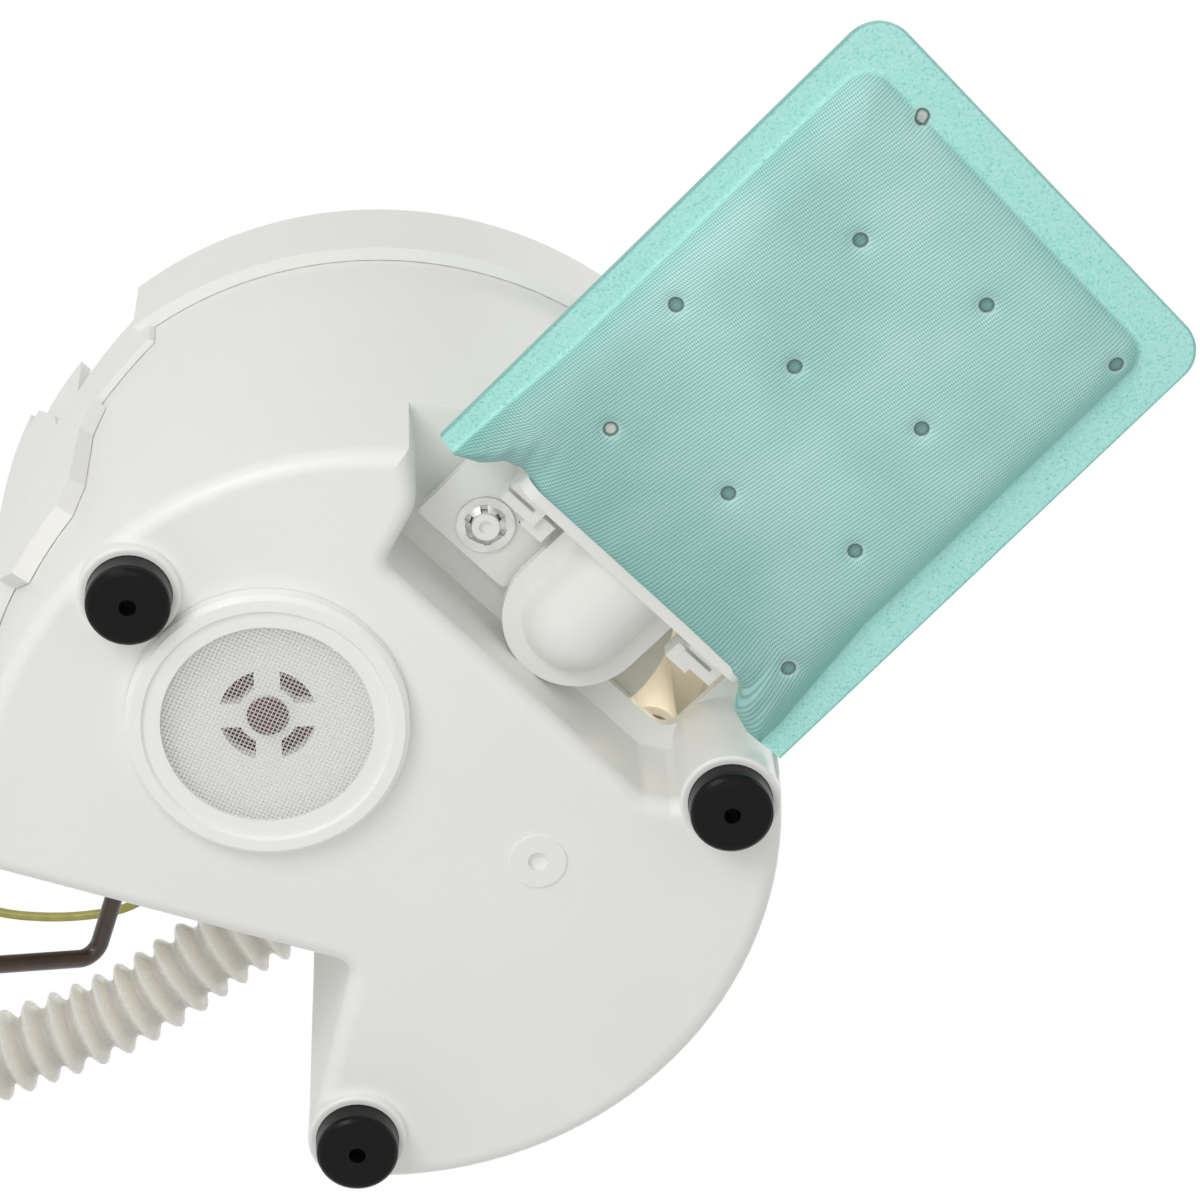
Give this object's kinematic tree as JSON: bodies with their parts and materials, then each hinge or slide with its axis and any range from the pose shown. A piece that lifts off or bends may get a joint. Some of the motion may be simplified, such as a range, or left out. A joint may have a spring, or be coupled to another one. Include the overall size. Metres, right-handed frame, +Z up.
{
  "type": "fuel pump module",
  "caption": "In-tank fuel pump module: white swirl pot on rubber feet with a mesh strainer bag, on two sprung guide rods under a round tank flange, with a level sender and a corrugated hose.",
  "frame": {"origin": "centre of the flange's sealing face, at the height where the flange rests on the tank", "axes": "+Z up along the guide rods, out of the tank; +X from the pot's axis along the strainer bag; +Y completes a right-handed frame"},
  "size_m": [0.3478, 0.1744, 0.1855],
  "materials": {
    "pot_white": "satin natural-white acetal moulding",
    "cover_white": "satin natural-white acetal moulding",
    "frame_white": "satin white acetal moulding",
    "foot_rubber": "matt black nitrile rubber",
    "valve_rubber": "red-brown fluorosilicone rubber",
    "seal_rubber": "matt black fluoroelastomer",
    "isolator_rubber": "natural tan nitrile rubber",
    "strainer_mesh": "fine pale nylon mesh",
    "bag_mesh": "green-blue woven nylon with a welded non-woven border",
    "spring_steel": "drawn spring steel wire",
    "bright_steel": "zinc-plated steel",
    "arm_steel": "brown-passivated steel wire",
    "black_plastic": "glass-filled acetal",
    "magnet": "sintered ferrite",
    "winding": "lacquered copper wire on a steel stack",
    "pump_plastic": "glass-filled polyphenylene sulphide",
    "card": "alumina card with printed tracks",
    "float_foam": "closed-cell nitrile foam",
    "hose_clear": "translucent corrugated nylon",
    "wire_yellow": "thin fluoropolymer insulation",
    "terminal": "tin-plated brass"
  },
  "bodies": {
    "pot": {"reservoir": "pot_white", "reservoir_cover": "cover_white", "foot_front": "foot_rubber", "foot_side": "foot_rubber", "foot_notch": "foot_rubber", "floor_strainer_ring": "frame_white", "floor_strainer_mesh": "strainer_mesh", "floor_valve": "valve_rubber", "sock_strainer": "bag_mesh", "sock_frame": "frame_white", "sock_push_nut": "bright_steel", "pump_holder": "pump_plastic", "pump_isolator": "isolator_rubber", "pump_inlet_cap": "pump_plastic", "pump_shell": "bright_steel", "pump_outlet_cap": "black_plastic", "pump_terminals": "terminal", "pump_magnets": "magnet", "fuel_duct": "cover_white", "pressure_regulator": "bright_steel", "hose_clamp_pot": "bright_steel", "sender_housing": "black_plastic", "sender_card": "card", "rod_spring_front": "spring_steel", "rod_spring_back": "spring_steel", "hose": "hose_clear", "sender_wire": "wire_yellow"},
    "tank_cap": {"hose_clamp_cap": "bright_steel", "flange": "cover_white", "flange_seal": "seal_rubber", "flange_elbow": "pump_plastic", "connector_terminals": "terminal", "guide_rods": "bright_steel", "rod_clips": "spring_steel"},
    "float_lever": {"float_arm": "arm_steel", "sender_wiper": "frame_white", "float": "float_foam", "float_clip": "spring_steel"},
    "pump_rotating": {"pump_rotor": "winding", "pump_impeller": "pump_plastic"}
  },
  "joints": [
    {"name": "flange_slide", "type": "slide", "parent": "pot", "child": "tank_cap", "axis": [0, 0, 1], "range_m": [-0.03, 0], "stiffness_N_per_m": 300, "springref_m": 0.06, "deforming": ["rod_spring_front", "rod_spring_back", "hose", "sender_wire"]},
    {"name": "float_arm_swing", "type": "hinge", "parent": "pot", "child": "float_lever", "pos_m": [-0.02581, -0.03269, -0.1], "axis": [-0.8886, 0.4587, 0], "range_deg": [0, 60]},
    {"name": "pump_spin", "type": "hinge", "parent": "pot", "child": "pump_rotating", "pos_m": [0.057, -0.017, -0.092], "axis": [0, 0, 1], "continuous": true}
  ]
}
